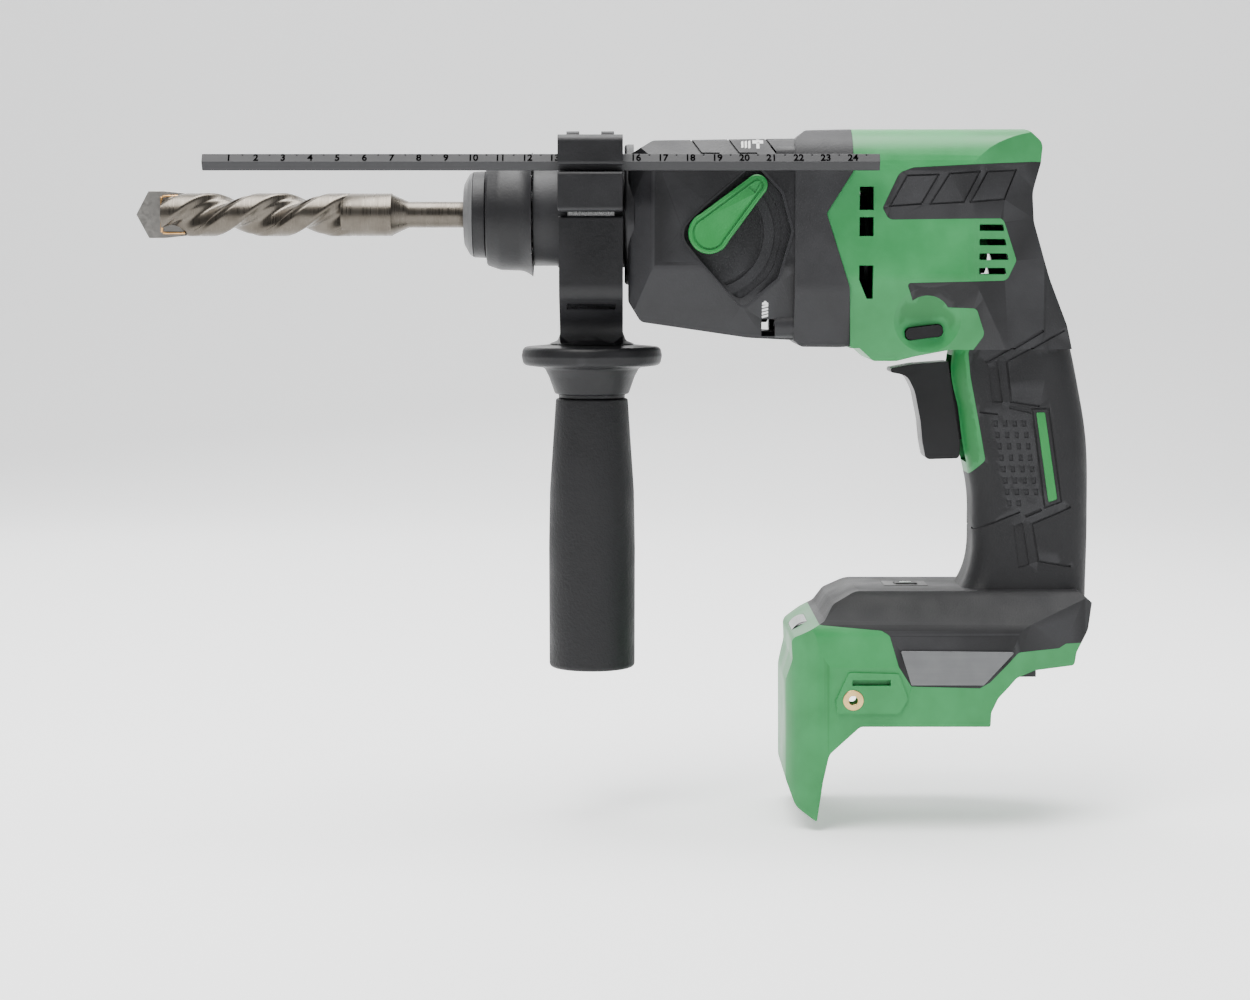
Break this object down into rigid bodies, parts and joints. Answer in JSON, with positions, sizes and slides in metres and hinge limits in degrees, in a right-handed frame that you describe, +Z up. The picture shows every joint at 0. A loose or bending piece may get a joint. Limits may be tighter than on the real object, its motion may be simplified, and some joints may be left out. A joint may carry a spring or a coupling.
{
  "type": "rotary hammer",
  "caption": "Cordless rotary hammer with drill bit, swivelling side handle, depth gauge, mode lever, trigger and open battery foot.",
  "frame": {"origin": "on the tool axis at the front face of the tool holder's dust cap", "axes": "+X runs back along the tool axis to the grip, +Z is up, -Y is the operator's left side, which carries the mode lever and the depth gauge"},
  "size_m": [0.3657, 0.0845, 0.2604],
  "materials": {
    "carbide": "ground hard metal",
    "tool_steel": "satin nickel tone",
    "bright_steel": "ground",
    "dark_steel": "black oxide",
    "rubber_black": "fine grain",
    "black_plastic": "spark texture",
    "green_plastic": "satin moulded",
    "grey_plastic": "spark texture",
    "brass": "turned",
    "copper": "enamelled wire",
    "iron": "laminated",
    "cast_metal": "die cast",
    "lens": "smoked"
  },
  "bodies": {
    "body": {"spindle_bearings": "bright_steel", "oil_seal": "rubber_black", "shaft_bearings": "bright_steel", "stator": "iron", "motor_bearings": "bright_steel", "gear_cover": "black_plastic", "bumper_ring": "rubber_black", "inner_cover": "cast_metal", "housing_left": "green_plastic", "housing_right": "green_plastic", "overmould_left": "rubber_black", "overmould_right": "rubber_black", "label_panels": "grey_plastic", "grip_bars": "green_plastic", "trigger_spring": "bright_steel", "switch_body": "grey_plastic", "light_lens": "lens", "button_panel": "black_plastic", "controller_module": "black_plastic", "terminal_block": "black_plastic", "terminal_blades": "copper", "brass_inserts": "brass", "bay_buffers": "rubber_black", "gear_cover_screws": "dark_steel", "housing_screws": "dark_steel"},
    "spindle": {"tool_holder_barrel": "bright_steel", "spindle_gear": "dark_steel", "front_retaining_collar": "grey_plastic", "dust_cap": "rubber_black", "lock_balls": "bright_steel", "impact_bolt": "bright_steel", "chuck_spring": "bright_steel"},
    "bit": {"drill_bit": "tool_steel", "carbide_tip": "carbide"},
    "chuck": {"chuck_sleeve": "black_plastic", "chuck_release_ring": "bright_steel"},
    "countershaft": {"intermediate_shaft": "bright_steel", "drive_pinion": "dark_steel", "clutch_sleeve": "dark_steel", "wobble_bearing": "bright_steel", "first_gear": "dark_steel"},
    "rotor": {"rotor_shaft": "bright_steel", "rotor_body": "iron", "cooling_fan": "grey_plastic"},
    "swash": {"wobble_ring": "dark_steel"},
    "piston": {"pinned_piston": "cast_metal"},
    "striker": {"sealed_striker": "bright_steel"},
    "mode_lever": {"mode_lever": "green_plastic"},
    "shift_plate": {"shift_plate": "bright_steel"},
    "trigger": {"trigger": "black_plastic"},
    "direction_button": {"direction_button": "black_plastic"},
    "light_button": {"light_button": "rubber_black"},
    "side_handle": {"handle_saddle": "black_plastic", "gauge_ear": "black_plastic"},
    "strap": {"steel_strap": "bright_steel", "upper_band": "black_plastic", "handle_bolt": "bright_steel"},
    "grip": {"grip_core_with_nut": "black_plastic", "grip_sleeve": "rubber_black"},
    "gauge": {"depth_gauge": "black_plastic"}
  },
  "joints": [
    {"name": "spindle_spin", "type": "hinge", "parent": "body", "child": "spindle", "pos_m": [0, 0, 0], "axis": [1, 0, 0], "continuous": true},
    {"name": "countershaft_spin", "type": "hinge", "parent": "body", "child": "countershaft", "pos_m": [0, 0, -0.028], "axis": [1, 0, 0], "continuous": true},
    {"name": "rotor_spin", "type": "hinge", "parent": "body", "child": "rotor", "pos_m": [0, 0, -0.0119], "axis": [1, 0, 0], "continuous": true},
    {"name": "bit_slide", "type": "slide", "parent": "spindle", "child": "bit", "axis": [1, 0, 0], "range_m": [-0.0042, 0.001]},
    {"name": "chuck_sleeve_slide", "type": "slide", "parent": "spindle", "child": "chuck", "axis": [1, 0, 0], "range_m": [0, 0.007], "stiffness_N_per_m": 1500},
    {"name": "wobble_rock", "type": "hinge", "parent": "body", "child": "swash", "pos_m": [0.113, 0, -0.028], "axis": [0, 1, 0], "range_deg": [-8, 8]},
    {"name": "piston_slide", "type": "slide", "parent": "body", "child": "piston", "axis": [1, 0, 0], "range_m": [-0.0042, 0.0042]},
    {"name": "striker_slide", "type": "slide", "parent": "body", "child": "striker", "axis": [1, 0, 0], "range_m": [-0.003, 0.001]},
    {"name": "mode_lever_turn", "type": "hinge", "parent": "body", "child": "mode_lever", "pos_m": [0.093, 0, -0.0073], "axis": [0, 1, 0], "range_deg": [0, 100]},
    {"name": "shift_plate_slide", "type": "slide", "parent": "body", "child": "shift_plate", "axis": [1, 0, 0], "range_m": [-0.0045, 0.001]},
    {"name": "trigger_pull", "type": "slide", "parent": "body", "child": "trigger", "axis": [1, 0, 0], "range_m": [0, 0.0068], "stiffness_N_per_m": 600, "springref_m": -0.003},
    {"name": "direction_button_push", "type": "slide", "parent": "body", "child": "direction_button", "axis": [0, 1, 0], "range_m": [-0.0025, 0.0025]},
    {"name": "light_button_press", "type": "slide", "parent": "body", "child": "light_button", "axis": [0, 0, 1], "range_m": [-0.0006, 0], "stiffness_N_per_m": 400, "springref_m": 0.001},
    {"name": "side_handle_swivel", "type": "hinge", "parent": "body", "child": "side_handle", "pos_m": [0, 0, 0], "axis": [1, 0, 0], "range_deg": [-150, 38]},
    {"name": "grip_turn", "type": "hinge", "parent": "side_handle", "child": "grip", "pos_m": [0.0488, 0, 0], "axis": [0, 0, 1], "range_deg": [0, 720]},
    {"name": "strap_lift", "type": "slide", "parent": "side_handle", "child": "strap", "axis": [0, 0, 1], "range_m": [-0.0001, 0.0026]},
    {"name": "depth_gauge_slide", "type": "slide", "parent": "side_handle", "child": "gauge", "axis": [1, 0, 0], "range_m": [-0.09, 0]}
  ],
  "couplings": [
    {"joint": "countershaft_spin", "follows": "spindle_spin", "ratio": -3.3077},
    {"joint": "rotor_spin", "follows": "spindle_spin", "ratio": 13.598},
    {"joint": "strap_lift", "follows": "grip_turn", "m_per_rad": 0.00019894},
    {"joint": "piston_slide", "follows": "wobble_rock", "m_per_rad": 0.028},
    {"joint": "shift_plate_slide", "follows": "mode_lever_turn", "m_per_rad": -0.002}
  ]
}
